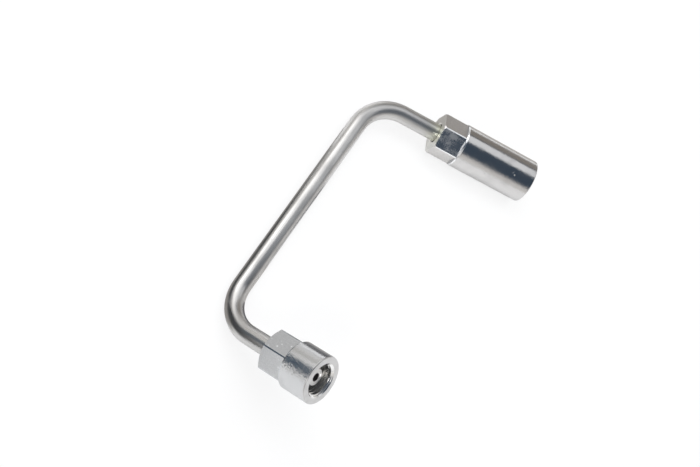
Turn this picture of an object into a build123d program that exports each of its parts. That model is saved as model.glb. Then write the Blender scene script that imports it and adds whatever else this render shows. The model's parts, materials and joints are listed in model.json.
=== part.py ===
from build123d import *
from math import cos, degrees, hypot, radians, sin, sqrt, tan
import os

# Bent high-pressure tube with a captive union nut on each leg, lying as it comes to rest.
# Origin: centre of the tube's end face in the long nut. +X: out of that nut's mouth. +Z: up.

# The tube and its route, measured between the corners where the straight runs would meet
tube_od = 8.0
tube_bore = 3.5
bend_radius = 18.5
middle_length = 121.0
front_leg = 51.4
long_leg = 74.1
front_turn = 83.0
long_turn = 77.5
leg_twist = 41.5

# The cone head formed on each end of the tube
end_face_d = 6.9
head_d = 11.0
cone_half_angle = 30.0
head_land = 0.5
shoulder_half_angle = 45.0
head_round = 0.4

# The thrust collar behind each head
collar_od = 11.9
collar_length = 3.8
collar_seat_depth = 1.0
collar_edge = 0.3
collar_clearance = 0.3
head_gap = 0.4
seat_gap = 0.1

# The union nuts: M14 thread, bored here to its major diameter
across_flats = 17.0
hex_length = 11.3
sleeve_d = 20.0
front_sleeve_length = 13.2
long_sleeve_length = 36.7
thread_d = 14.0
thread_depth = 14.0
mouth_countersink = 0.4
rear_countersink = 0.5
nut_clearance = 0.4
mouth_edge = 0.3
shoulder_chamfer = 1.0
corner_relief = 0.1

# The rear of each hexagon is turned back to a round face
front_face_d = 16.6
front_chamfer_angle = 30.0
long_face_d = 18.4
long_chamfer_angle = 55.0

# Where the nuts stand: how far back from the head, and how far turned on the tube
front_slack = 2.6
long_slack = 0.0
front_hex_turn = 26.0
long_hex_turn = 6.0

tube_r = tube_od / 2
bore_r = tube_bore / 2
head_r = head_d / 2
sleeve_r = sleeve_d / 2
thread_r = thread_d / 2
hex_blank_r = across_flats / sqrt(3) - corner_relief
nut_bore_r = tube_r + nut_clearance
collar_bore_r = tube_r + collar_clearance

cone_length = (head_d - end_face_d) / 2 / tan(radians(cone_half_angle))
shoulder_length = (head_r - tube_r) / tan(radians(shoulder_half_angle))
head_length = cone_length + head_land + shoulder_length

# How far behind the tube's end face the collar's front and the nut's inner seat stand
seat_mouth_r = collar_bore_r + collar_seat_depth * tan(radians(shoulder_half_angle))
seat_depth = cone_length + head_land + (head_r - seat_mouth_r) / tan(radians(shoulder_half_angle))
collar_setback = seat_depth + head_gap
nut_seat_setback = collar_setback + collar_length + seat_gap


def middle_direction(dip):
    """Direction from the long corner to the front corner, dipping below level by an angle."""
    level = sin(radians(long_turn)) * cos(radians(dip))
    fall = sin(radians(long_turn)) * sin(radians(dip))
    return Vector(-cos(radians(long_turn)), -level, -fall)


def side_direction(middle):
    """Direction square to the middle run towards which the front leg turns."""
    inward = (Vector(1, 0, 0) - middle * middle.X).normalized()
    upward = middle.cross(inward)
    return inward * cos(radians(leg_twist)) + upward * sin(radians(leg_twist))


def lowest_centre(dip):
    """Height of the lowest point of the centreline, which lies in the front bend."""
    middle = middle_direction(dip)
    side = side_direction(middle)
    bend_start = middle * (middle_length - bend_radius * tan(radians(front_turn / 2)))
    return bend_start.Z + bend_radius * (side.Z - hypot(side.Z, middle.Z))


# The long sleeve lies on the floor. The middle run dips until the front bend touches it too.
rest_dip = 0.0
for step in range(20):
    bend_gap = lowest_centre(rest_dip) - tube_r + sleeve_r
    rest_dip += degrees(bend_gap / (middle_length * sin(radians(long_turn))))

middle_axis = middle_direction(rest_dip)
side_axis = side_direction(middle_axis)
front_axis = middle_axis * cos(radians(front_turn)) + side_axis * sin(radians(front_turn))
long_axis = Vector(1, 0, 0)

long_end = Vector(0, 0, 0)
long_corner = long_end - long_axis * long_leg
front_corner = long_corner + middle_axis * middle_length
front_end = front_corner + front_axis * front_leg


def upright_plane(origin, axis, turn=0.0):
    """Plane square to an axis, its x direction as near to upright as it goes, then turned."""
    up = (Vector(0, 0, 1) - axis * axis.Z).normalized()
    return Plane(origin=origin, x_dir=up.rotate(Axis((0, 0, 0), axis), turn), z_dir=axis)


def profile_plane(plane):
    """Plane to draw a turned profile on: x is the radius and y runs along the turning axis."""
    return Plane(origin=plane.origin, x_dir=plane.x_dir, z_dir=plane.x_dir.cross(plane.z_dir))


def turning_axis(plane):
    return Axis(plane.origin, plane.z_dir)


def union_nut(mouth, sleeve_length, face_d, chamfer_angle):
    """A nut turned from bar, with six flats milled behind its sleeve. z runs out of the mouth."""
    face_r = face_d / 2
    nut_length = hex_length + sleeve_length
    chamfer_length = (hex_blank_r - face_r) * tan(radians(chamfer_angle))
    with BuildPart() as nut:
        with BuildSketch(profile_plane(mouth)):
            with BuildLine():
                Polyline(
                    (thread_r + mouth_countersink, 0),
                    (sleeve_r - mouth_edge, 0),
                    (sleeve_r, -mouth_edge),
                    (sleeve_r, shoulder_chamfer - sleeve_length),
                    (hex_blank_r, -sleeve_length),
                    (hex_blank_r, chamfer_length - nut_length),
                    (face_r, -nut_length),
                    (nut_bore_r + rear_countersink, -nut_length),
                    (nut_bore_r, rear_countersink - nut_length),
                    (nut_bore_r, -thread_depth),
                    (thread_r, -thread_depth),
                    (thread_r, -mouth_countersink),
                    close=True,
                )
            make_face()
        revolve(axis=turning_axis(mouth))
        with BuildSketch(mouth.offset(-nut_length)):
            Circle(across_flats)
            RegularPolygon(across_flats / 2, side_count=6, major_radius=False, mode=Mode.SUBTRACT)
        extrude(amount=hex_length, mode=Mode.SUBTRACT)
    return nut


def thrust_collar(front):
    """A ring whose conical front seats on the head's shoulder. z runs towards the head."""
    collar_r = collar_od / 2
    with BuildPart() as collar:
        with BuildSketch(profile_plane(front)):
            with BuildLine():
                Polyline(
                    (seat_mouth_r, 0),
                    (collar_r - collar_edge, 0),
                    (collar_r, -collar_edge),
                    (collar_r, collar_edge - collar_length),
                    (collar_r - collar_edge, -collar_length),
                    (collar_bore_r, -collar_length),
                    (collar_bore_r, -collar_seat_depth),
                    close=True,
                )
            make_face()
        revolve(axis=turning_axis(front))
    return collar


# The tube: outside swept between the two necks, a turned head on each end, bored right through
ends = [upright_plane(front_end, front_axis), upright_plane(long_end, long_axis)]
front_neck = front_end - front_axis * head_length
long_neck = long_end - long_axis * head_length

with BuildPart() as tube:
    with BuildLine() as outside_route:
        FilletPolyline(front_neck, front_corner, long_corner, long_neck, radius=bend_radius)
    with BuildSketch(Plane(origin=front_neck, z_dir=-front_axis)):
        Circle(tube_r)
    sweep(path=outside_route.line)
    for end in ends:
        with BuildSketch(profile_plane(end)) as head:
            with BuildLine():
                Polyline(
                    (0, 0),
                    (end_face_d / 2, 0),
                    (head_r, -cone_length),
                    (head_r, -cone_length - head_land),
                    (tube_r, -head_length),
                    (0, -head_length),
                    close=True,
                )
            make_face()
            fillet(head.vertices().group_by(Axis.X)[-1], radius=head_round)
        revolve(axis=turning_axis(end))
    with BuildLine() as bore_route:
        FilletPolyline(front_end, front_corner, long_corner, long_end, radius=bend_radius)
    with BuildSketch(Plane(origin=front_end, z_dir=-front_axis)):
        Circle(bore_r)
    sweep(path=bore_route.line, mode=Mode.SUBTRACT)

# Each nut seats on its collar, and both stand back from the head by the same slack
front_mouth = front_end + front_axis * (thread_depth - nut_seat_setback - front_slack)
long_mouth = long_end + long_axis * (thread_depth - nut_seat_setback - long_slack)
front_collar_front = front_end - front_axis * (collar_setback + front_slack)
long_collar_front = long_end - long_axis * (collar_setback + long_slack)

front_nut = union_nut(
    upright_plane(front_mouth, front_axis, front_hex_turn),
    front_sleeve_length, front_face_d, front_chamfer_angle,
)
long_nut = union_nut(
    upright_plane(long_mouth, long_axis, long_hex_turn),
    long_sleeve_length, long_face_d, long_chamfer_angle,
)
front_collar = thrust_collar(upright_plane(front_collar_front, front_axis))
long_collar = thrust_collar(upright_plane(long_collar_front, long_axis))

tube.part.label = "tube"
front_nut.part.label = "front_nut"
long_nut.part.label = "long_nut"
front_collar.part.label = "front_collar"
long_collar.part.label = "long_collar"

os.makedirs("parts", exist_ok=True)
export_step(tube.part, "parts/tube.step")
export_step(front_nut.part, "parts/front_nut.step")
export_step(long_nut.part, "parts/long_nut.step")
export_step(front_collar.part, "parts/front_collar.step")
export_step(long_collar.part, "parts/long_collar.step")

print(f"dip {rest_dip:.3f} deg, front corner {front_corner}, front axis {front_axis}")
print(f"front end {front_end}, front mouth {front_mouth}, long mouth {long_mouth}")
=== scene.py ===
# %% [markdown]
# # A bent high-pressure tube with its two union nuts
# The object is a steel tube, bent twice, with a cone-shaped head formed on each end. A loose
# thrust collar and a union nut sit behind each head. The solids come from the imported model, and
# this script gives them the surfaces that the photograph shows: satin drawn steel on the tube,
# turned and milled zinc-plated steel on the nuts, and real threads in the nuts' mouths.

# %% Load the solids
import json
from math import atan2, cos, pi, radians, sin, sqrt, tan

import bmesh
import bpy
from mathutils import Matrix, Vector
from mathutils.geometry import intersect_line_line


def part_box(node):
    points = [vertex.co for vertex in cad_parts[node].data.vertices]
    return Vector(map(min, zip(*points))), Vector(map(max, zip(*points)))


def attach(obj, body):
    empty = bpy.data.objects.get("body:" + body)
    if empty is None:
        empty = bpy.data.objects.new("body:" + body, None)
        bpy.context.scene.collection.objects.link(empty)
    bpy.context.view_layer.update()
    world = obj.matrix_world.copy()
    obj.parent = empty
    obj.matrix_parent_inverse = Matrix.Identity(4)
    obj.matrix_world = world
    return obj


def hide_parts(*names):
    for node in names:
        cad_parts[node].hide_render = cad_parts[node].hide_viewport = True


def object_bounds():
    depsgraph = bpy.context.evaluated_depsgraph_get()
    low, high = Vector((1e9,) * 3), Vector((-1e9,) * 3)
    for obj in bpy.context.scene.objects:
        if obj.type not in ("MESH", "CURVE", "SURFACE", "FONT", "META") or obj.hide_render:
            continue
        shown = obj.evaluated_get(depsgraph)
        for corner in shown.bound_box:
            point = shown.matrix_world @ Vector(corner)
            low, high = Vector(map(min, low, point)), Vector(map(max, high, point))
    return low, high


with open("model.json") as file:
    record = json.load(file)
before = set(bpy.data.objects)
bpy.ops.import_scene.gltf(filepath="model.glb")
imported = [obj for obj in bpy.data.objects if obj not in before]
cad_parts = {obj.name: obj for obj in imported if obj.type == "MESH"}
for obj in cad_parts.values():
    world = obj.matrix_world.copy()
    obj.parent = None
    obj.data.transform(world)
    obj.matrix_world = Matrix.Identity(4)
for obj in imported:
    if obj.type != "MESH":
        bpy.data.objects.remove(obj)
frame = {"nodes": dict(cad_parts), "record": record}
cad_low, cad_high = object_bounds()
bpy.ops.object.select_all(action="DESELECT")
MM = 0.001  # every size below is in metres, so 5 * MM is five millimetres
print("solids:", ", ".join(sorted(frame["nodes"])))

# %% [markdown]
# ## Where things are
# The record says where each nut's mouth and each end of the tube is, and which way it points.
# Everything below is placed from these points, so a changed solid moves its finish with it. The
# runs of the tube are straight lines, and the corners are where two of those lines meet.


# %% Read places from the record
def mount(name):
    """A mount's place, direction and sizes in metres."""
    found = next(m for m in frame["record"]["mounts"] if m["name"] == name)
    sizes = {key: value * MM for key, value in found["dims"].items()}
    return Vector(found["pos_m"]), Vector(found["axis"]).normalized(), sizes


def corner(place_a, axis_a, place_b, axis_b):
    """The point where two straight runs would meet."""
    near_a, near_b = intersect_line_line(place_a, place_a + axis_a, place_b, place_b + axis_b)
    return (near_a + near_b) / 2


long_end, long_axis, _ = mount("long_cone_seat")
front_end, front_axis, _ = mount("front_cone_seat")
middle_place, middle_axis, middle_sizes = mount("middle_run")
long_mouth = mount("long_thread")[0]
front_mouth = mount("front_thread")[0]

long_corner = corner(long_end, long_axis, middle_place, middle_axis)
front_corner = corner(front_end, front_axis, middle_place, middle_axis)
tube_r = middle_sizes["r_mm"]
floor_z = cad_low.z
middle_length = (front_corner - long_corner).length
down_the_middle = (front_corner - long_corner).normalized()
print("middle run, corner to corner, in mm:", round(middle_length / MM, 2))

# %% [markdown]
# ## The camera
# The photographer looked down on the object at about sixty degrees, with the camera rolled so that
# the long run climbs across the picture. A camera is simplest to place by what it looks at: the
# point it aims for, how far back it stands, its bearing and height, and last its roll. These
# numbers were found by fitting the object's outline in the photograph.

# %% Camera
aim = Vector((-63.7 * MM, -63.0 * MM, 0))
camera_distance = 492.6 * MM
camera_bearing, camera_height, camera_roll = -31.88, 61.37, 55.54
camera_lens, sensor_width = 60.65, 36

camera_data = bpy.data.cameras.new("camera")
camera_data.lens = camera_lens
camera_data.sensor_width = sensor_width
camera_data.clip_start, camera_data.clip_end = 0.01, 100
camera = bpy.data.objects.new("camera", camera_data)
bpy.context.scene.collection.objects.link(camera)
bpy.context.scene.camera = camera

turned = (
    Matrix.Rotation(radians(camera_bearing), 4, "Z")
    @ Matrix.Rotation(radians(90 - camera_height), 4, "X")
    @ Matrix.Rotation(radians(camera_roll), 4, "Z")
)
stands_back = turned.to_3x3() @ Vector((0, 0, camera_distance))
camera.matrix_world = Matrix.Translation(aim + stands_back) @ turned
print("camera at", [round(x / MM, 1) for x in camera.matrix_world.translation], "mm")

# %% [markdown]
# ## Nodes in a few words
# A material is a graph of nodes. They could be wired by hand in the Shader Editor, but a finish is
# easier to read as a few lines. So one helper adds a node and fills its sockets, one moves a value
# from one range to another, two blend colours or values by a mask, and one does a single sum.


# %% Node helpers
def add_node(tree, kind, inputs=(), **settings):
    """Adds a node. An input is a plain value, or another node's output to link from."""
    node = tree.nodes.new("ShaderNode" + kind)
    for name, value in settings.items():
        setattr(node, name, value)
    for socket, value in dict(inputs).items():
        if isinstance(value, bpy.types.NodeSocket):
            tree.links.new(value, node.inputs[socket])
        else:
            node.inputs[socket].default_value = value
    return node


def ramp(tree, value, low, high, to_low=0.0, to_high=1.0, course="SMOOTHSTEP"):
    """Moves a value from one range to another, and holds it at the ends."""
    ranges = {"From Min": low, "From Max": high, "To Min": to_low, "To Max": to_high}
    node = add_node(tree, "MapRange", inputs={"Value": value, **ranges}, interpolation_type=course)
    return node.outputs["Result"]


def blend_colours(tree, mask, colour_a, colour_b):
    """Colour a where the mask is 0 and colour b where it is 1."""
    mask_socket, a_socket, b_socket, result = 0, 6, 7, 2
    node = add_node(tree, "Mix", data_type="RGBA")
    for socket, value in ((mask_socket, mask), (a_socket, colour_a), (b_socket, colour_b)):
        if isinstance(value, bpy.types.NodeSocket):
            tree.links.new(value, node.inputs[socket])
        elif isinstance(value, float):
            node.inputs[socket].default_value = value
        else:
            node.inputs[socket].default_value = (*value, 1)
    return node.outputs[result]


def blend_values(tree, mask, value_a, value_b):
    """Value a where the mask is 0 and value b where it is 1."""
    return ramp(tree, mask, 0.0, 1.0, value_a, value_b, "LINEAR")


def arithmetic(tree, operation, value_a, value_b):
    """One sum of two values, such as ADD or MULTIPLY."""
    node = add_node(tree, "Math", inputs={0: value_a, 1: value_b}, operation=operation)
    return node.outputs[0]


# %% [markdown]
# ## The studio
# Bare metal has hardly any colour of its own: it shows what stands around it. So the studio is
# built from what the metal in the photograph reflects. A long soft box hangs low over the far side
# of the table, brighter towards its left end. Behind the camera the room is dark and bluish, and
# near the horizon a pale sweep goes all the way round. Such a room could be built from walls, but
# a mirror only cares about direction, so the world's shader paints it by direction instead.


# %% Directions and patches
def towards(bearing, height):
    """Direction with a compass bearing from +X and a height above the horizon, in degrees."""
    bearing, height = radians(bearing), radians(height)
    return Vector((cos(height) * cos(bearing), cos(height) * sin(bearing), sin(height)))


def room_patch(tree, direction, base, bearing, height, core, edge, colour):
    """A soft round patch of colour: full out to the core angle, and gone at the edge angle."""
    facing = add_node(
        tree, "VectorMath", operation="DOT_PRODUCT",
        inputs={0: direction, 1: towards(bearing, height)},
    )
    mask = ramp(tree, facing.outputs["Value"], cos(radians(edge)), cos(radians(core)))
    return blend_colours(tree, mask, base, colour)


print("straight ahead of the camera is", towards(90 + camera_bearing, -camera_height))

# %% [markdown]
# ### The room's colours
# A ramp runs from the horizon up to the ceiling. Four patches are laid over it, each where the
# metal in the photograph mirrors something: a backdrop behind the object, a wall with a window in
# it, and a dark doorway, which is the dark band on the front sleeve. The camera sees plain white
# instead, as behind a cut-out picture, because the room is there for the metal alone.

# %% The room
pale_sweep = (0.95, 0.95, 0.94)
pale_wall = (0.74, 0.73, 0.72)
dusk = (0.25, 0.26, 0.28)
dark_ceiling = (0.055, 0.078, 0.112)
plain_white = (1.0, 1.0, 1.0)
grey_backdrop = (0.28, 0.26, 0.24)
bright_window = (1.0, 1.0, 1.0)
grey_wall = (0.54, 0.53, 0.51)
dark_doorway = (0.072, 0.106, 0.148)

bpy.context.scene.view_settings.view_transform = "Standard"
world = bpy.data.worlds.new("studio")
world.use_nodes = True
bpy.context.scene.world = world
room = world.node_tree
direction = add_node(room, "TexCoord").outputs["Generated"]
height = add_node(room, "SeparateXYZ", inputs={0: direction}).outputs["Z"]
ceiling = add_node(room, "ValToRGB", inputs={0: height})
stops = ceiling.color_ramp.elements
stops[0].color = (*pale_sweep, 1)
stops[1].color = (*dark_ceiling, 1)
for position, colour in ((0.2, pale_wall), (0.34, pale_wall), (0.5, dusk), (0.62, dark_ceiling)):
    stops.new(position).color = (*colour, 1)

patches = (
    # bearing, height, core, edge, colour
    (78, 20, 8, 28, grey_backdrop),
    (138, 8, 8, 18, grey_wall),
    (138, 35, 12, 19, bright_window),
    (174, 12, 10, 24, dark_doorway),
)
seen = ceiling.outputs["Color"]
for patch in patches:
    seen = room_patch(room, direction, seen, *patch)
for_camera = add_node(room, "LightPath").outputs["Is Camera Ray"]
seen = blend_colours(room, for_camera, seen, plain_white)
room.links.new(seen, room.nodes["Background"].inputs["Color"])
print("room:", len(stops), "stops from the horizon to the ceiling,", len(patches), "patches")

# %% [markdown]
# ## The lamps
# The long soft box could be one lamp, but the metal shows that its left end is brighter, so two
# rectangles stand end to end. Their power follows from how bright their faces look, because a
# mirror shows the face. A small key lamp gives the glints on edges and threads. A wide fill evens
# out the floor, and the metal doesn't mirror it.

# %% The lamps
box_height = 500 * MM
box_near_left, box_near_right, box_far = 25 * MM, 70 * MM, 485 * MM
box_left, box_split, box_right = -850 * MM, -120 * MM, 550 * MM
bright_half, dim_half = 1.55, 0.86
key_bearing, key_height, key_distance, key_width = -112, 41, 2000 * MM, 600 * MM
key_power = 9.0
fill_height, fill_width, fill_power = 1600 * MM, 1500 * MM, 18.0


def add_lamp(name, width, depth, power):
    """A rectangular lamp that faces down until it is turned."""
    data = bpy.data.lights.new(name, "AREA")
    data.shape = "RECTANGLE"
    data.size, data.size_y = width, depth
    data.energy = power
    lamp = bpy.data.objects.new(name, data)
    bpy.context.scene.collection.objects.link(lamp)
    lamp.visible_camera = False
    print(name, round(power, 2), "W")
    return lamp


def soft_box(name, left, right, near, brightness):
    """Half of the long box overhead. Its power follows from how bright its face looks."""
    width, depth = right - left, box_far - near
    lamp = add_lamp(name, width, depth, brightness * pi * width * depth)
    lamp.location = ((left + right) / 2, (near + box_far) / 2, box_height)


soft_box("soft_box_left", box_left, box_split, box_near_left, bright_half)
soft_box("soft_box_right", box_split, box_right, box_near_right, dim_half)

key = add_lamp("key", key_width, key_width, key_power)
key_direction = towards(key_bearing, key_height)
key.location = aim + key_direction * key_distance
key.rotation_euler = key_direction.to_track_quat("Z", "Y").to_euler()

fill = add_lamp("fill", fill_width, fill_width, fill_power)
fill.location = aim + Vector((0, 0, fill_height))
fill.visible_glossy = False

# %% [markdown]
# ## The floor
# The object lies on a plain pale floor. The lamps light it nearly white, and the metal mirrors it
# with its shadows. More light would whiten it fully, but would also blow out the metal. So for the
# camera most of the floor's whiteness is its own glow, and the shadow stays faint.

# %% Floor
floor_size = 40
floor_colour = (0.93, 0.93, 0.93, 1)
glow_for_camera, glow_for_mirror, glow_strength = 0.8, 0.1, 1.0

bpy.ops.mesh.primitive_plane_add(size=floor_size, location=(0, 0, floor_z))
floor = bpy.context.object
floor.name = "floor"
bpy.ops.object.select_all(action="DESELECT")

paper = bpy.data.materials.new("white_paper")
paper.use_nodes = True
floor.data.materials.append(paper)
tree = paper.node_tree
tree.nodes.clear()
shaded = add_node(tree, "BsdfDiffuse", inputs={"Color": floor_colour})
glow = add_node(tree, "Emission", inputs={"Strength": glow_strength})
ray = add_node(tree, "LightPath")
glossy, transmitted = ray.outputs["Is Glossy Ray"], ray.outputs["Is Transmission Ray"]
mirrored = arithmetic(tree, "MAXIMUM", glossy, transmitted)
in_mirror = arithmetic(tree, "MULTIPLY", mirrored, glow_for_mirror)
in_camera = arithmetic(tree, "MULTIPLY", ray.outputs["Is Camera Ray"], glow_for_camera)
share = arithmetic(tree, "MAXIMUM", in_mirror, in_camera)
mixed = add_node(tree, "MixShader", inputs={0: share, 1: shaded.outputs[0], 2: glow.outputs[0]})
add_node(tree, "OutputMaterial", inputs={0: mixed.outputs[0]})
print("floor at", round(floor_z / MM, 2), "mm")

# %% [markdown]
# ## Cards beside the metal
# On a white table the edges of bright metal melt into the background. So strips of card are put
# just where the metal mirrors them, and only mirror rays see them. They are painted shade: each
# strip glows faintly in its own shade, which stands in for the object's shadow on the floor as the
# metal reflects it. Lamps could be shaped instead, but a card darkens one edge and nothing else.
# That shade may change along a strip, as the photograph shows along the middle run.


# %% Five shades of card
def card_material(name, low_colour, high_colour, low_place=-70 * MM, high_place=-10 * MM):
    """Card that goes from one shade to another along Y."""
    card = bpy.data.materials.new(name)
    card.use_nodes = True
    tree = card.node_tree
    tree.nodes.clear()
    along = add_node(tree, "TexCoord").outputs["Object"]
    along = add_node(tree, "SeparateXYZ", inputs={0: along}).outputs["Y"]
    shade = blend_colours(tree, ramp(tree, along, low_place, high_place), low_colour, high_colour)
    # Painted shade: the card's faint glow stands in for a shadow that the metal mirrors
    glow = add_node(tree, "Emission", inputs={"Color": shade})
    add_node(tree, "OutputMaterial", inputs={0: glow.outputs[0]})
    print(name, "from", low_colour, "to", high_colour)
    return card


black_shade_card = card_material("black_shade_card", (0.04, 0.045, 0.05), (0.45, 0.45, 0.45))
grey_shadow_card = card_material(
    "grey_shadow_card", (0.42, 0.41, 0.40), (0.40, 0.39, 0.38), -110 * MM, -50 * MM)
pale_shadow_card = card_material("pale_shadow_card", (0.66, 0.64, 0.62), (0.60, 0.58, 0.56))
dark_shade_card = card_material(
    "dark_shade_card", (0.13, 0.13, 0.14), (0.20, 0.20, 0.21), -130 * MM, -110 * MM)
faded_shadow_card = card_material(
    "faded_shadow_card", (0.50, 0.49, 0.48), (0.30, 0.30, 0.31), -100 * MM, -55 * MM)

# %% [markdown]
# ### Holding a card
# A card is a plane, so it is given by its centre and its two sides.


# %% Hold a card
def hold_card(name, card, centre, along, upward, length, height):
    """A strip of card round a centre, with its long side and its short side given."""
    bpy.ops.object.select_all(action="DESELECT")
    bpy.ops.mesh.primitive_plane_add(size=1, location=(0, 0, 0))
    strip = bpy.context.object
    strip.name = strip.data.name = name
    across = along.normalized()
    rising = (upward - across * upward.dot(across)).normalized()
    facing = across.cross(rising)
    sides = Matrix((across * length, rising * height, facing)).transposed().to_4x4()
    strip.data.transform(Matrix.Translation(centre) @ sides)
    strip.data.materials.append(card)
    # Only mirror rays see the card, so it is painted shade in the metal and nowhere else
    for ray_kind in ("camera", "diffuse", "shadow", "transmission", "volume_scatter"):
        setattr(strip, "visible_" + ray_kind, False)
    print(name, "at", [round(x / MM, 1) for x in centre], "mm")


straight_up = Vector((0, 0, 1))
level_run = (down_the_middle - straight_up * down_the_middle.z).normalized()
outward = level_run.cross(straight_up)
behind = straight_up.cross(long_axis)

# %% [markdown]
# ### Cards that stand
# Two cards stand on the floor along the outside of the middle run. They are painted shade, in place
# of the shadow on the floor beside the tube, and give that side of the tube, and the outside of the
# front bend, their dark contour.


# %% Standing cards
def stand_card(name, start, end, gap, top):
    """Stands a card beside the middle run, between two distances along it, all in mm."""
    centre = long_corner + (level_run * (start + end) / 2 + outward * gap) * MM
    low, high = floor_z, top * MM
    centre.z = (low + high) / 2
    hold_card(name, black_shade_card, centre, level_run, straight_up, (end - start) * MM, high - low)


stand_card("card_by_middle_run", 25, 112, 15, -1.5)
stand_card("card_by_front_bend", 112, 170, 20, 13)

# %% [markdown]
# ### Cards that lie
# Six cards lie on the floor, where the undersides of the runs would mirror it too brightly. They
# are painted shadows: in the metal's mirror they darken the floor beside the object, in place of
# its own shadow there. Five start at a point of the route, follow a run, and lie between two
# distances from it. The last one lies behind the front nut, along Y, where the far edge of the
# nut's sleeve mirrors the floor.

# %% Lying cards
card_lift = 0.1 * MM


def lay_card(name, card, start, along, across, length, near, far):
    """Lays a card on the floor beside a run, with its length and its two distances in mm."""
    centre = start + (along * length / 2 + across * (near + far) / 2) * MM
    centre.z = floor_z + card_lift
    hold_card(name, card, centre, along, across, length * MM, (far - near) * MM)


def down_the_run(distance):
    """A point so many mm from the long corner, level along the middle run."""
    return long_corner + level_run * distance * MM


lay_card("card_under_middle_run", grey_shadow_card, down_the_run(15), level_run, outward, 103, 3, 15)
lay_card("card_under_front_bend", grey_shadow_card, down_the_run(112), level_run, outward, 22, 0, 24)
lay_card("card_inside_front_bend", pale_shadow_card, down_the_run(88), level_run, -outward, 36, 5, 15)
lay_card("card_behind_long_leg", grey_shadow_card, long_corner, long_axis, behind, 48, 6, 70)
lay_card("card_behind_long_nut", pale_shadow_card, long_corner + long_axis * 48 * MM, long_axis, behind,
         60, 10, 90)
front_nut_corner = Vector((-55 * MM, -108 * MM, 0))
lay_card("card_behind_front_nut", faded_shadow_card, front_nut_corner, Vector((0, 1, 0)),
         Vector((1, 0, 0)), 64, -18, 18)

# %% [markdown]
# ### Cards that hover
# The front leg rises off the floor, so its far contour mirrors the air beside it. Two dark cards
# hover there, one beyond the sleeve and one beyond the bare tube. They are painted shade: in the
# mirror they give that contour the dark stripe that a shadow on the floor would give. Their
# directions are where a mirror at the contour sends the camera's view.


# %% Hovering cards
def hover_card(name, back_from_mouth, bearing, height, distance, length, width):
    """Hovers a dark card beside the front leg, square to upright, with its sizes in mm."""
    beside = front_mouth - front_axis * back_from_mouth * MM
    centre = beside + towards(bearing, height) * distance * MM
    hold_card(name, dark_shade_card, centre, front_axis, straight_up, length * MM, width * MM)


hover_card("card_by_front_sleeve", 7, 86, -4, 34, 38, 14)
hover_card("card_by_front_leg", 38, 84, -36, 14, 34, 11)

# %% [markdown]
# ## A lathe
# The tube's heads and both nuts are round parts, turned from one outline. Stacked cylinders would
# leave seams between them. Blender's Spin tool is a lathe: it takes an outline beside the axis and
# sweeps it round into one skin. The outline is drawn as by hand, one point after another, by
# extruding a single vertex.

# %% Draw an outline
weld = MM / 500  # points nearer than this become one


def select_only(piece):
    """Selects one object and nothing else, because an operator acts on all that is selected."""
    bpy.ops.object.select_all(action="DESELECT")
    piece.select_set(True)
    bpy.context.view_layer.objects.active = piece


def edit_all(piece):
    """Opens a piece in edit mode with everything selected."""
    select_only(piece)
    bpy.ops.object.mode_set(mode="EDIT")
    bpy.ops.mesh.select_mode(type="VERT")
    bpy.ops.mesh.select_all(action="SELECT")


def draw_outline(name, points):
    """A new piece that is only a line through (radius, height) points, left in edit mode."""
    bpy.ops.object.select_all(action="DESELECT")
    bpy.ops.mesh.primitive_plane_add(size=MM, location=(0, 0, 0))
    piece = bpy.context.object
    piece.name = piece.data.name = name
    edit_all(piece)
    bpy.ops.mesh.merge(type="CENTER")
    here = (0.0, 0.0)
    for count, (radius, along) in enumerate(points):
        step = (radius - here[0], 0, along - here[1])
        if count == 0:
            bpy.ops.transform.translate(value=step)
        else:
            bpy.ops.mesh.extrude_vertices_move(TRANSFORM_OT_translate={"value": step})
        here = (radius, along)
    return piece


# %% [markdown]
# ### Turning
# Drawing the outline selects only its last point, so the two ends are picked out by their number
# and joined by an edge. After the spin the first and last rings lie on each other and are merged.


# %% Turn the outline
def turn_on_lathe(name, points, steps):
    """A closed outline of (radius, height) points, spun about the Z axis into a solid."""
    piece = draw_outline(name, points)
    shape = bmesh.from_edit_mesh(piece.data)
    shape.verts.ensure_lookup_table()
    for vertex in shape.verts:
        vertex.select = vertex in (shape.verts[0], shape.verts[-1])
    shape.select_flush_mode()
    bmesh.update_edit_mesh(piece.data)
    bpy.ops.mesh.edge_face_add()
    bpy.ops.mesh.select_all(action="SELECT")
    bpy.ops.mesh.spin(steps=steps, angle=2 * pi, center=(0, 0, 0), axis=(0, 0, 1))
    bpy.ops.mesh.select_all(action="SELECT")
    bpy.ops.mesh.remove_doubles(threshold=weld)
    bpy.ops.mesh.normals_make_consistent(inside=False)
    bpy.ops.object.mode_set(mode="OBJECT")
    return piece


# %% [markdown]
# ### Shop habits
# Two habits hold for every piece. A modifier is applied as soon as it is added, so that the next
# step works on the real mesh. And before a piece is bent or put in its place, each point's place on
# the lathe is kept as an attribute, because the marks of the tool follow that.


# %% Apply a modifier, remember the lathe
def apply_modifier(piece, kind, **settings):
    """Adds a modifier to a piece and applies it at once."""
    select_only(piece)
    modifier = piece.modifiers.new(kind.lower(), kind)
    for name, value in settings.items():
        setattr(modifier, name, value)
    bpy.ops.object.modifier_apply(modifier=modifier.name)


def remember_place(piece):
    """Keeps where each point is on the lathe, before the piece is bent or put in its place."""
    kept = piece.data.attributes.new("lathe_place", "FLOAT_VECTOR", "POINT")
    kept.data.foreach_set("vector", [x for vertex in piece.data.vertices for x in vertex.co])


def triangles(piece):
    """How many triangles a piece has."""
    return sum(len(face.vertices) - 2 for face in piece.data.polygons)


# %% [markdown]
# ## The tube
# The real tube is cut to length straight, its two heads are pressed to shape, and only then is it
# bent. A curve with a round bevel would give the bends at once, but no heads and no bore. So the
# tube is made in the real order: turned straight here, with its heads and bore, and bent later.
# First come its sizes, and the lengths of its straights and bends, from the record's places.

# %% The tube's sizes
bore_r = 1.75 * MM
end_face_r = 3.45 * MM
head_r = 5.5 * MM
cone_half_angle = radians(30)
head_land = 0.5 * MM
head_round = 0.25 * MM
ring_pitch = 1.0 * MM
tube_steps = 72

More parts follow.
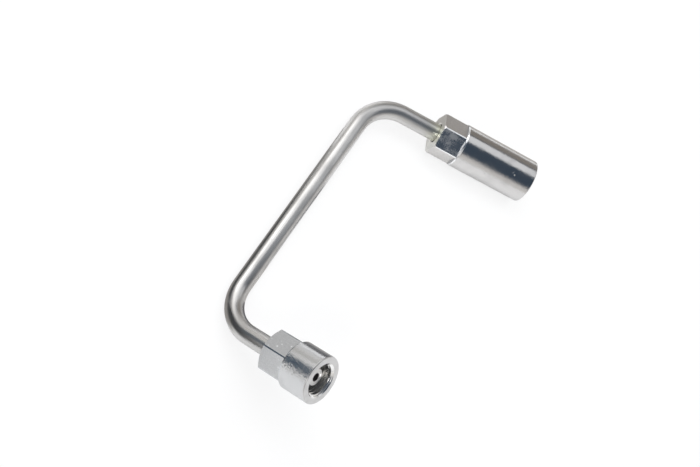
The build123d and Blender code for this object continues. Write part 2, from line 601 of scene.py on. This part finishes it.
cone_length = (head_r - end_face_r) / tan(cone_half_angle)
head_length = cone_length + head_land + head_r - tube_r  # the shoulder behind slopes 45 degrees
long_turn = (-long_axis).angle(down_the_middle)
front_turn = down_the_middle.angle(front_axis)
straight_middle = middle_sizes["length_mm"]
bend_r = (middle_length - straight_middle) / (tan(long_turn / 2) + tan(front_turn / 2))
long_tangent = bend_r * tan(long_turn / 2)
front_tangent = bend_r * tan(front_turn / 2)
long_straight = (long_corner - long_end).length - long_tangent
front_straight = (front_end - front_corner).length - front_tangent
tube_length = (
    long_straight + bend_r * long_turn + straight_middle + bend_r * front_turn + front_straight
)
print("bend radius", round(bend_r / MM, 2), "mm, tube length", round(tube_length / MM, 1), "mm")

# %% [markdown]
# ### The straight tube
# The outline goes along the outside, from one head to the other, and comes back along the bore. It
# has a point every millimetre, because a tube can only bend where it has rings. Each head is a cone
# with a narrow land and a sloping shoulder, and its two rims are rounded a little.


# %% Straight tube
def head_outline():
    """The head from its end face back to the neck, as (radius, distance from the end face)."""
    rim = cone_length + head_land
    cone_dip, cone_reach = head_round * 0.5, head_round * 0.87
    rounding = head_round * 0.3
    return [
        (end_face_r, 0),
        (head_r - cone_dip, cone_length - cone_reach),
        (head_r, cone_length + rounding),
        (head_r, rim - head_round * 0.4),
        (head_r - rounding, rim + rounding),
        (tube_r, head_length),
    ]


rings = int((tube_length - 2 * head_length) / ring_pitch)
step = (tube_length - 2 * head_length) / rings
outside = head_outline()
outside += [(tube_r, head_length + step * k) for k in range(1, rings)]
outside += [(radius, tube_length - back) for radius, back in reversed(head_outline())]
inside = [(bore_r, tube_length - tube_length * k / rings) for k in range(rings + 1)]
tube = turn_on_lathe("tube_body", outside + inside, tube_steps)

remember_place(tube)
print("straight tube:", triangles(tube), "triangles")

# %% [markdown]
# ### Bending
# The route is a Bezier curve with a point at each end and where each bend starts and stops. A
# handle of 4/3 tan(turn/4) radii makes its segment as round as a Bezier gets, here within a
# hundredth of a millimetre. A Curve modifier lays the straight tube along it, as a bender does.


# %% Route
def route_point(spline_point, place, before, after):
    """Sets a Bezier point with its two handles."""
    spline_point.handle_left_type = spline_point.handle_right_type = "FREE"
    spline_point.co = place
    spline_point.handle_left = place + before
    spline_point.handle_right = place + after


def arc_handle(turn):
    """How long a Bezier handle is for a round bend of that turn."""
    return 4 / 3 * tan(turn / 4) * bend_r


route_data = bpy.data.curves.new("route", "CURVE")
route_data.dimensions = "3D"
route_data.resolution_u = 48  # short pieces in the bends, so that the tube bends smoothly
route = bpy.data.objects.new("route", route_data)
bpy.context.scene.collection.objects.link(route)
spline = route_data.splines.new("BEZIER")

back, middle, forward = -long_axis, down_the_middle, front_axis
long_handle, front_handle = arc_handle(long_turn), arc_handle(front_turn)
first_third, middle_third, last_third = long_straight / 3, straight_middle / 3, front_straight / 3
stations = [
    # place, handle before, handle after
    (long_end, -back, back * first_third),
    (long_corner - back * long_tangent, -back * first_third, back * long_handle),
    (long_corner + middle * long_tangent, -middle * long_handle, middle * middle_third),
    (front_corner - middle * front_tangent, -middle * middle_third, middle * front_handle),
    (front_corner + forward * front_tangent, -forward * front_handle, forward * last_third),
    (front_end, -forward * last_third, forward),
]
spline.bezier_points.add(len(stations) - 1)
for bezier_point, station in zip(spline.bezier_points, stations):
    route_point(bezier_point, *station)
print("route:", len(spline.bezier_points), "points")

# %% [markdown]
# ### On the bender
# The modifier reads the straight tube's Z as distance along the route. When it is applied, the
# route has done its work and is deleted. Then the piece rides on its body, and the solid it stands
# for is hidden. Its box is set against the solid's.

# %% Bend the tube
tube_crease = radians(25)
apply_modifier(tube, "CURVE", object=route, deform_axis="POS_Z")
bpy.data.objects.remove(route)
bpy.ops.object.shade_smooth_by_angle(angle=tube_crease)
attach(tube, "tube")
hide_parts("tube")
low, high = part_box("tube")
mesh_low = [min(vertex.co[k] for vertex in tube.data.vertices) for k in range(3)]
mesh_high = [max(vertex.co[k] for vertex in tube.data.vertices) for k in range(3)]
print("tube off the solid's box by, in mm:",
      [round((a - b) / MM, 3) for a, b in zip(mesh_low + mesh_high, list(low) + list(high))])

# %% [markdown]
# ## The union nuts
# A real union nut starts as a round blank, turned inside and out. Six flats are then milled on its
# rear part, and a tap cuts the thread. Both nuts are made here in that order, from these sizes. The
# thread is metric, 14 mm across with a pitch of 1.5 mm.

# %% Sizes of the nuts
across_flats = 17 * MM
hex_length = 11.3 * MM
sleeve_r = 10 * MM
corner_relief = 0.16 * MM
hex_blank_r = across_flats / sqrt(3) - corner_relief
nut_bore_r = 4.4 * MM
rear_countersink = 0.5 * MM
shoulder_chamfer = 0.6 * MM
mouth_edge = 0.4 * MM
mouth_countersink = 0.3 * MM
hole_depth = 14 * MM
broken_edge = 0.1 * MM

thread_pitch = 1.5 * MM
thread_r = 7.0 * MM
tooth_height = 0.62 * MM
crest_width, root_width = 0.58 * MM, 0.20 * MM
thread_end = 11.3 * MM
nut_steps = 144
print("hexagon blank", round(2 * hex_blank_r / MM, 2), "mm across")

# %% [markdown]
# ### The blank
# The outline starts at the mouth's countersink, goes round the outer edge and down the sleeve, and
# comes back through the rear hole. The inside is turned to the height of the thread's crests, as a
# hole is drilled before it is tapped, with a wider groove at its end where the tap runs out.


# %% Turn the blank
def turned_blank(name, sleeve_length, face_r, chamfer_angle):
    """The nut before milling and tapping. Its mouth is at the origin and opens along +Z."""
    crest_r = thread_r - tooth_height
    mouth_r = thread_r + mouth_countersink
    nut_length = sleeve_length + hex_length
    chamfer_length = (hex_blank_r - face_r) * tan(radians(chamfer_angle))
    rings = round(sleeve_length / (2 * MM))
    plain_length = sleeve_length - mouth_edge - shoulder_chamfer
    sleeve = [(sleeve_r, -mouth_edge - plain_length * k / rings) for k in range(rings + 1)]
    edge = [(sin(radians(turn)), cos(radians(turn)) - 1) for turn in (0, 18, 36, 54, 72)]
    rounded = [(sleeve_r - mouth_edge + mouth_edge * x, mouth_edge * z) for x, z in edge]
    outline = [(mouth_r, 0)] + rounded + sleeve + [
        (hex_blank_r, -sleeve_length),
        (hex_blank_r, chamfer_length - nut_length),
        (face_r, -nut_length),
        (nut_bore_r + rear_countersink, -nut_length),
        (nut_bore_r, rear_countersink - nut_length),
        (nut_bore_r, -hole_depth),
        (thread_r, -hole_depth),
        (thread_r, -thread_end - tooth_height),
        (crest_r, -thread_end),
        (crest_r, crest_r - mouth_r),
    ]
    return turn_on_lathe(name, outline, nut_steps)


# %% [markdown]
# ### Milling the flats
# The flats could be made by moving faces inward, but the rounded corners of a real hexagon come
# from a round blank meeting six planes. So the cutter is a ring with a six-sided hole, and what it
# takes away leaves the flats. It starts as a hexagon's outline, extruded outward and then upward.


# %% Milling cutter
cutter_reach = 1.6  # how many times wider than its hole the cutter is


def mill_cutter(sleeve_length):
    """A ring with a six-sided hole, as long as the hexagon, that takes off all but the flats."""
    bpy.ops.object.select_all(action="DESELECT")
    bpy.ops.mesh.primitive_circle_add(
        vertices=6, radius=across_flats / sqrt(3), fill_type="NOTHING",
        location=(0, 0, -sleeve_length - hex_length - MM), rotation=(0, 0, radians(30)),
    )
    cutter = bpy.context.object
    bpy.ops.object.transform_apply(location=True, rotation=True, scale=True)
    edit_all(cutter)
    bpy.ops.mesh.extrude_region_move()
    wider = (cutter_reach, cutter_reach, 1)
    bpy.ops.transform.resize(value=wider, center_override=(0, 0, 0))
    bpy.ops.mesh.select_all(action="SELECT")
    bpy.ops.mesh.extrude_region_move(TRANSFORM_OT_translate={"value": (0, 0, hex_length + MM)})
    bpy.ops.mesh.select_all(action="SELECT")
    bpy.ops.mesh.normals_make_consistent(inside=False)
    bpy.ops.object.mode_set(mode="OBJECT")
    return cutter


# %% [markdown]
# ### The tap
# A thread could be faked with rings, but a helix is what the eye follows into the mouth. The tap is
# one tooth of the thread, wound up by a Screw modifier into a solid. It starts below the thread and
# runs out above the mouth, and the Bisect tool trims off both ragged ends.


# %% Tap
tap_overlap = 0.03 * MM  # how far the tap reaches into the open bore
tap_steps = 72


def trim(height, **side):
    """Cuts off all that is on one side of a height, and closes the cut."""
    bpy.ops.mesh.select_all(action="SELECT")
    bpy.ops.mesh.bisect(plane_co=(0, 0, height), plane_no=(0, 0, 1), use_fill=True, **side)


def tap():
    """The thread's grooves as a solid, from above the mouth to the relief at the thread's end."""
    inner_r = thread_r - tooth_height - tap_overlap
    flank = (thread_pitch - crest_width - root_width) / 2
    turns = int((thread_end + tooth_height) / thread_pitch) + 3
    start = -thread_end - tooth_height - 1.5 * thread_pitch
    tooth = [(inner_r, 0), (inner_r, crest_width), (thread_r, crest_width + flank),
             (thread_r, crest_width + flank + root_width), (inner_r, thread_pitch)]
    cutter = draw_outline("tap", [(radius, start + along) for radius, along in tooth])
    bpy.ops.object.mode_set(mode="OBJECT")
    apply_modifier(
        cutter, "SCREW", axis="Z", angle=2 * pi, screw_offset=thread_pitch, iterations=turns,
        steps=tap_steps, render_steps=tap_steps, use_merge_vertices=True, merge_threshold=weld,
    )
    edit_all(cutter)
    bpy.ops.mesh.remove_doubles(threshold=weld)
    trim(-thread_end - tooth_height / 2, clear_inner=True)
    trim(thread_pitch, clear_outer=True)
    bpy.ops.mesh.select_all(action="SELECT")
    bpy.ops.mesh.normals_make_consistent(inside=False)
    bpy.ops.object.mode_set(mode="OBJECT")
    return cutter


# %% [markdown]
# ### Cutting, and small knocks
# A Boolean modifier takes a cutter's solid out of a piece, as the tool does. It can leave points
# almost on top of each other, so they are merged after each cut, and the mesh stays closed. The
# long sleeve has a few small knocks and one scratch from handling. Each is a flattened ball, sunk
# a little into the surface and taken away in the same manner, so that the dents catch the light.


# %% Cut, and knock
def cut_away(piece, cutter):
    """Takes a cutter's solid out of a piece, and deletes the cutter."""
    apply_modifier(piece, "BOOLEAN", operation="DIFFERENCE", solver="EXACT", object=cutter)
    bpy.data.objects.remove(cutter)
    edit_all(piece)
    bpy.ops.mesh.remove_doubles(threshold=weld)
    bpy.ops.object.mode_set(mode="OBJECT")


def knock(nut, hex_turn, back, angle, length, width, depth, lean=0.0):
    """A small dent in the sleeve: so far back from the mouth, and at an angle from upright."""
    ball_r = width / 2
    flattened = (depth * 2 / ball_r, 1, length / width)
    bpy.ops.object.select_all(action="DESELECT")
    bpy.ops.mesh.primitive_ico_sphere_add(subdivisions=3, radius=ball_r, location=(0, 0, 0))
    ball = bpy.context.object
    edit_all(ball)
    bpy.ops.transform.resize(value=flattened, center_override=(0, 0, 0))
    bpy.ops.object.mode_set(mode="OBJECT")
    ball.data.transform(Matrix.Rotation(radians(lean), 4, "X"))
    ball.data.transform(Matrix.Translation((sleeve_r + depth, 0, -back)))
    ball.data.transform(Matrix.Rotation(radians(angle - hex_turn), 4, "Z"))
    cut_away(nut, ball)


# %% [markdown]
# ### A whole nut
# The order of work matters. The outer edges are broken with a Bevel before the tap goes in, so that
# it leaves the thread alone, whose crests stay sharp as a tap leaves them. The knocks come after.
# Last the nut is turned as it stands in the photograph, and put at its mouth's place.

# %% Make a nut
outer_corner = radians(12)


def union_nut(name, sleeve_length, face_r, chamfer_angle, mouth, axis, hex_turn, knocks=()):
    """A finished nut, put in its place. hex_turn turns the hexagon from upright, in degrees."""
    nut = turned_blank(name, sleeve_length, face_r, chamfer_angle)
    cut_away(nut, mill_cutter(sleeve_length))
    apply_modifier(nut, "BEVEL", width=broken_edge, segments=2, limit_method="ANGLE",
                   angle_limit=outer_corner)
    cut_away(nut, tap())
    for marks in knocks:
        knock(nut, hex_turn, *marks)
    remember_place(nut)
    up = (straight_up - axis * axis.z).normalized()
    placed = Matrix((up, axis.cross(up), axis)).transposed().to_4x4()
    placed = Matrix.Translation(mouth) @ placed @ Matrix.Rotation(radians(hex_turn), 4, "Z")
    nut.data.transform(placed)
    print(name, triangles(nut), "triangles")
    return nut, placed


# %% [markdown]
# ### The two nuts
# They differ in the length of the sleeve, in how their rear end is turned back, and in how they are
# turned on the tube. Only the long one has knocks that can be seen.

# %% Both nuts
front_sleeve, long_sleeve = 13.2 * MM, 36.7 * MM
front_face_r, long_face_r = 8.3 * MM, 9.2 * MM
front_chamfer_angle, long_chamfer_angle = 30, 55
front_hex_turn, long_hex_turn = 26, 6
long_knocks = (
    # back from the mouth, angle from upright, length, width, depth, lean
    (9.6 * MM, 30.7, 0.8 * MM, 0.8 * MM, 0.13 * MM),
    (10.7 * MM, 26.4, 2.4 * MM, 0.10 * MM, 0.03 * MM, 50),
    (21.66 * MM, 64.9, 0.7 * MM, 0.7 * MM, 0.06 * MM),
    (2.96 * MM, 7.9, 0.4 * MM, 0.4 * MM, 0.04 * MM),
)
front_nut, front_placed = union_nut(
    "front_nut_body", front_sleeve, front_face_r, front_chamfer_angle, front_mouth, front_axis,
    front_hex_turn)
long_nut, long_placed = union_nut(
    "long_nut_body", long_sleeve, long_face_r, long_chamfer_angle, long_mouth, long_axis,
    long_hex_turn, long_knocks)

# %% [markdown]
# ### Shading and handing over
# Edges sharper than twelve degrees stay crisp, and the rest is shaded smooth. Weighted normals keep
# the flats looking flat beside their small bevels. Then each nut rides on its body in place of the
# plain solid, so it slides and turns with it.

# %% Hand the nuts over
for nut, body in ((front_nut, "front_nut"), (long_nut, "long_nut")):
    select_only(nut)
    bpy.ops.object.shade_smooth_by_angle(angle=outer_corner)
    apply_modifier(nut, "WEIGHTED_NORMAL", keep_sharp=True)
    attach(nut, body)
    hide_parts(body)
    print(nut.name, "rides on", body)

# %% [markdown]
# ## Finishes
# All of it is one zinc-plated steel, and what differs is how each surface was made. A drawn tube
# has faint lines along it, a turned face has fine rings and a milled flat has straight feed marks.
# So each finish reads the place its surface had on the lathe, and stretches its noise along or
# round the axis. Where the marks tilt the surface, they break the edges of what it mirrors.
#
# The values that are the same all over are set on the shader's own sockets, and only what varies
# comes from nodes.


# %% Steel and its grain
def new_steel(name, base_colour, roughness):
    """A metal with its plain values set on the shader's own sockets."""
    steel = bpy.data.materials.new(name)
    steel.use_nodes = True
    shader = steel.node_tree.nodes["Principled BSDF"]
    shader.inputs["Base Color"].default_value = (*base_colour, 1)
    shader.inputs["Metallic"].default_value = 1
    shader.inputs["Roughness"].default_value = roughness
    return steel, steel.node_tree, shader


def place_on_lathe(tree):
    """Where a point of the surface was before the piece was bent or put in its place."""
    return add_node(tree, "Attribute", attribute_name="lathe_place").outputs["Vector"]


def grain(tree, place, round_axis, along_axis, detail=2.0):
    """Noise with so many features per metre round the axis and along it."""
    stretched = add_node(
        tree, "VectorMath", operation="MULTIPLY",
        inputs={0: place, 1: (round_axis, round_axis, along_axis)},
    )
    noise = add_node(
        tree, "TexNoise",
        inputs={"Vector": stretched.outputs[0], "Scale": 1.0, "Detail": detail},
    )
    return noise.outputs["Fac"]


def dent(tree, height, depth, under=None):
    """Adds relief of a depth in metres, over relief that is already there."""
    node = add_node(tree, "Bump", inputs={"Height": height, "Distance": depth, "Strength": 1.0})
    if under is not None:
        tree.links.new(under, node.inputs["Normal"])
    return node.outputs["Normal"]


def connect(tree, shader, **sockets):
    """Links outputs to the shader's sockets, written with _ for a space."""
    for name, output in sockets.items():
        tree.links.new(output, shader.inputs[name.replace("_", " ")])


print("finishes read the attribute lathe_place of", tube.name, front_nut.name, long_nut.name)

# %% [markdown]
# ### Ridges that tilt
# Bump is weak where a tool has left ridges finer than a pixel. A comb instead leans the surface's
# direction round the axis by a noise, so each ridge mirrors a slightly different part of the room,
# and the edges of a dark band turn ragged.


# %% Comb
def vector_sum(tree, operation, *values):
    """One step of vector arithmetic."""
    node = add_node(tree, "VectorMath", operation=operation, inputs=dict(enumerate(values)))
    return node.outputs[0]


def comb(tree, tilts, axis, degrees_each_way, under):
    """Leans the surface round an axis: so many degrees where the noise is far from a half."""
    most = tan(radians(degrees_each_way))
    amount = ramp(tree, tilts, 0.25, 0.75, -most, most, "LINEAR")
    straight = add_node(
        tree, "VectorTransform", inputs={0: axis}, convert_from="OBJECT", convert_to="WORLD")
    sideways = vector_sum(tree, "CROSS_PRODUCT", straight.outputs[0], under)
    pushed = add_node(
        tree, "VectorMath", inputs={0: sideways, "Scale": amount}, operation="SCALE").outputs[0]
    return vector_sum(tree, "NORMALIZE", vector_sum(tree, "ADD", pushed, under))


# %% [markdown]
# ### The drawn tube
# The tube was drawn through a die, so its marks run lengthwise. Zinc plating leaves it satin and a
# little warm, with a few pits, and a faint yellow-green tinge where it enters the long nut. It is a
# little rougher near that end, so its highlights widen there.

# %% Drawn steel
satin, satin_dull, tinged = (0.605, 0.592, 0.575), (0.51, 0.50, 0.487), (0.56, 0.57, 0.46)
pit_grey, pit_share, tinge_share = (0.25, 0.25, 0.25), 0.4, 0.7
line_depth, pit_depth = 3.5e-6, -12e-6
tinge_from, tinge_to = 42 * MM, 50 * MM
satin_from, satin_to = 55 * MM, 100 * MM

drawn_steel, tree, shader = new_steel("drawn_steel", satin, 0.33)
place = place_on_lathe(tree)
along = add_node(tree, "SeparateXYZ", inputs={0: place}).outputs["Z"]
lines = grain(tree, place, 2600, 50, 3.0)
clouds = grain(tree, place, 170, 70)
pits = ramp(tree, grain(tree, place, 1500, 1300), 0.68, 0.78)
dulled = blend_colours(tree, ramp(tree, clouds, 0.35, 0.75), satin, satin_dull)
pitted = blend_colours(tree, arithmetic(tree, "MULTIPLY", pits, pit_share), dulled, pit_grey)
tinge = arithmetic(tree, "MULTIPLY", ramp(tree, along, tinge_to, tinge_from), tinge_share)
roughness = arithmetic(
    tree, "ADD", ramp(tree, clouds, 0.3, 0.7, 0.28, 0.33), ramp(tree, lines, 0.3, 0.7, -0.03, 0.03))
roughness = arithmetic(tree, "ADD", roughness, ramp(tree, along, satin_from, satin_to, 0.08, 0.0))
relief = dent(tree, pits, pit_depth, dent(tree, lines, line_depth))
connect(tree, shader, Base_Color=blend_colours(tree, tinge, pitted, tinged), Roughness=roughness,
        Normal=relief)
tube.data.materials.append(drawn_steel)
print(tube.name, "has", drawn_steel.name, "with", len(tree.nodes), "nodes")

# %% [markdown]
# ### Turned steel
# The sleeves were turned on a lathe. The front one kept the lines of the tool: they comb the edges
# of its dark band, and one side of it has a sparkle of fine specks. The long one was polished after
# turning, so its bands are nearly those of a mirror. The end faces, the shoulders, the thread and
# the worn edges are the same recipe with other values. The thread and the long nut's rear face are
# paler than the other turned faces: that is painted light, which brightens the inside of the mouths
# and the rear face. The worn edges are paler still: partly wear, and partly painted highlight lines
# along the edges.


# %% Turned steel
clouded = 0.88  # how much darker the soft clouds and specks of the plating are
sparkle_share = 0.55


def turned_steel(name, colour, smooth, rough, ring_depth, speck_depth, axis=None, comb_tilt=0.0,
                 combed_side=0.0, elsewhere=1.0):
    """Steel with rings round the axis and specks. It is combed most towards combed_side."""
    steel, tree, shader = new_steel(name, colour, smooth)
    place = place_on_lathe(tree)
    rings = grain(tree, place, 45, 1500, 4.0)
    specks = grain(tree, place, 2000, 2000, 3.0)
    clouds = grain(tree, place, 150, 130, 3.0)
    relief = dent(tree, specks, speck_depth, dent(tree, rings, ring_depth))
    if axis is not None:
        ridges = grain(tree, place, 900, 3000, 3.0)
        sparkle = grain(tree, place, 2200, 2800, 2.0)
        side = (cos(radians(combed_side)), sin(radians(combed_side)), 0)
        facing = add_node(tree, "VectorMath", operation="DOT_PRODUCT", inputs={0: place, 1: side})
        # The combed strip fades out between 14 and 36 degrees to either side
        edge, core = (sleeve_r * cos(radians(angle)) for angle in (36, 14))
        strength = ramp(tree, facing.outputs["Value"], edge, core, elsewhere, 1.0)
        tilts = blend_values(tree, sparkle_share, ridges, sparkle)
        relief = comb(tree, blend_values(tree, strength, 0.5, tilts), axis, comb_tilt, relief)
    darker = tuple(clouded * part for part in colour)
    shade = blend_colours(tree, ramp(tree, clouds, 0.4, 0.8), colour, darker)
    roughness = blend_values(tree, ramp(tree, clouds, 0.35, 0.7), smooth, rough)
    connect(tree, shader, Base_Color=shade, Roughness=roughness, Normal=relief)
    print(name, "with", len(tree.nodes), "nodes")
    return steel


front_turned = turned_steel(
    "front_turned_steel", (0.62, 0.62, 0.62), 0.18, 0.26, 2e-6, 9e-6, front_axis, 17.0, 16, 0.16)
long_polished = turned_steel(
    "long_polished_steel", (0.635, 0.622, 0.61), 0.15, 0.23, 0.8e-6, 8e-6, long_axis, 4.5, 22, 0.5)
turned_face = turned_steel("turned_face_steel", (0.62, 0.61, 0.60), 0.28, 0.36, 2e-6, 3e-6)
# Painted light: the rear face is paler than the other turned faces, so that it looks brighter
rear_face = turned_steel("rear_face_steel", (0.93, 0.92, 0.88), 0.30, 0.38, 2e-6, 3e-6)
# Painted light: the thread is pale, so that the inside of the mouth looks brighter
threaded = turned_steel("thread_steel", (0.88, 0.87, 0.85), 0.17, 0.26, 0.0, 4e-6)
dark_edge = turned_steel("front_edge_steel", (0.60, 0.61, 0.63), 0.16, 0.22, 1e-6, 2e-6)
# Partly wear, partly painted highlight: pale edges that give bright lines along them
worn_and_highlit_edge = turned_steel("worn_and_highlit_edge_steel", (0.90, 0.90, 0.90), 0.20, 0.28, 1e-6, 2e-6)
shoulder_steel = turned_steel("shoulder_steel", (0.50, 0.51, 0.52), 0.30, 0.42, 2e-6, 9e-6)

# %% [markdown]
# ### Milled steel
# The front nut's flats are matte, close to the look of a blasted surface, with a few white specks.
# The long nut's kept the cutter's feed marks and are shinier. One of them is rubbed nearly to a
# mirror, with soft dull blotches where the plating took unevenly.


# %% Milled steel
def milled_steel(name, colour, smooth, rough, line_depth, speck_depth, white):
    """Milled flats: feed marks across the nut, fine specks, and soft clouds that are duller."""
    steel, tree, shader = new_steel(name, colour, rough)
    place = place_on_lathe(tree)
    feed_marks = grain(tree, place, 90, 2800, 3.0)
    specks = grain(tree, place, 2400, 2400, 3.0)
    clouds = grain(tree, place, 240, 240, 3.0)
    speckled = arithmetic(tree, "ADD", clouds, arithmetic(tree, "MULTIPLY", specks, 0.7))
    dull = ramp(tree, speckled, 0.72, 1.16)
    white_specks = ramp(tree, grain(tree, place, 620, 620, 1.0), 0.66, 0.76)
    pale = tuple(min(1.0, 1.5 * part) for part in colour)
    dusky = tuple(clouded * part for part in colour)
    colour = blend_colours(tree, ramp(tree, specks, 0.35, 0.65), colour, dusky)
    shade = blend_colours(tree, arithmetic(tree, "MULTIPLY", white_specks, white), colour, pale)
    relief = dent(tree, specks, speck_depth, dent(tree, feed_marks, line_depth))
    roughness = blend_values(tree, dull, smooth, rough)
    connect(tree, shader, Base_Color=shade, Roughness=roughness, Normal=relief)
    print(name, "with", len(tree.nodes), "nodes")
    return steel


front_milled = milled_steel(
    "front_milled_steel", (0.54, 0.542, 0.545), 0.46, 0.50, 1e-6, 3e-6, 0.9)
front_side = milled_steel("front_side_steel", (0.64, 0.642, 0.645), 0.46, 0.50, 1e-6, 3e-6, 0.4)
long_milled = milled_steel("long_milled_steel", (0.72, 0.70, 0.68), 0.32, 0.38, 2e-6, 2e-6, 0.0)
rubbed = milled_steel("rubbed_steel", (0.68, 0.68, 0.68), 0.20, 0.48, 5e-6, 4e-6, 0.0)


# %% [markdown]
# ### Which finish goes where
# Painting faces by hand would have to be done again after each change of size. Instead a face gets
# its finish by where it is on the lathe and which way it faces: outside on the sleeve, on a flat,
# on the cone between them, on a broken edge, on either end, or inside. The flat that one can see
# best on each nut has a finish of its own.

# %% Sort the faces
on_sleeve, on_flat, on_end, inside_nut, on_seen_flat, on_shoulder, on_edge, on_rear = range(8)
seen_flat_angle = 30
square_on, nearly_square_on = 0.97, 0.9


def finish_of(place, facing, sleeve_length):
    """Which finish a face gets, from its place and direction on the lathe."""
    radius = Vector((place.x, place.y)).length
    rear = -sleeve_length - hex_length
    outside_bore = radius > nut_bore_r + broken_edge / 2
    if outside_bore and place.z < rear + rear_countersink and facing.z < -0.5:
        # The rear face and the edge of its hole, but not the cone outside them
        on_face = radius < thread_r * 1.1 or facing.z < -nearly_square_on
        return on_rear if on_face else on_flat
    if radius < thread_r + mouth_countersink * 0.9 and place.z < -mouth_countersink / 2:
        return inside_nut
    if place.z > -mouth_edge * 0.9:
        return on_end
    if place.z > shoulder_chamfer - sleeve_length:
        return on_sleeve
    if place.z > -sleeve_length - broken_edge / 2:
        return on_edge if -nearly_square_on < facing.z < -0.45 else on_shoulder
    return finish_of_side(facing)


def finish_of_side(facing):
    """Which finish a face round the hexagon gets, from its direction on the lathe."""
    from_flat = (atan2(facing.y, facing.x) - radians(30)) % radians(60)
    if radians(3) < from_flat < radians(57) and abs(facing.z) < 0.2:
        return on_edge
    seen = radians(seen_flat_angle)
    sideways = facing.x * cos(seen) + facing.y * sin(seen)
    return on_seen_flat if sideways > square_on else on_flat


# %% [markdown]
# ### The nuts' finishes
# Each nut has eight slots, in the order of the names above. A slot is only a number on a face, so
# the mesh stays in one piece.


# %% Finish the nuts
def finish_nut(nut, placed, sleeve_length, *steels):
    """Gives a nut its finishes, and counts the faces that each one got."""
    for steel in steels:
        nut.data.materials.append(steel)
    back_to_lathe = placed.inverted()
    counts = [0] * len(steels)
    for face in nut.data.polygons:
        place = back_to_lathe @ face.center
        facing = back_to_lathe.to_3x3() @ face.normal
        face.material_index = finish_of(place, facing, sleeve_length)
        counts[face.material_index] += 1
    print(nut.name, "faces on each finish:", counts)


finish_nut(front_nut, front_placed, front_sleeve, front_turned, front_milled, turned_face,
           threaded, front_side, front_milled, dark_edge, turned_face)
finish_nut(long_nut, long_placed, long_sleeve, long_polished, long_milled, turned_face,
           threaded, rubbed, shoulder_steel, worn_and_highlit_edge, rear_face)

# %% [markdown]
# ### The collars
# The collars hide inside the nuts, and their solids already have the right shape, so they stay.
# They have no lathe place, so their finish reads the object's own coordinates: a dull oiled steel
# with fine specks. It goes into the solid's own material slot.

# %% Collars
collar_grey = (0.42, 0.41, 0.40)
for node in ("front_collar", "long_collar"):
    steel, tree, shader = new_steel(node + "_steel", collar_grey, 0.34)
    place = add_node(tree, "TexCoord").outputs["Object"]
    specks = grain(tree, place, 2500, 2500, 3.0)
    connect(tree, shader, Roughness=ramp(tree, specks, 0.3, 0.7, 0.28, 0.42),
            Normal=dent(tree, specks, 4e-6))
    frame["nodes"][node].material_slots[0].material = steel
    print(node, "has", steel.name)
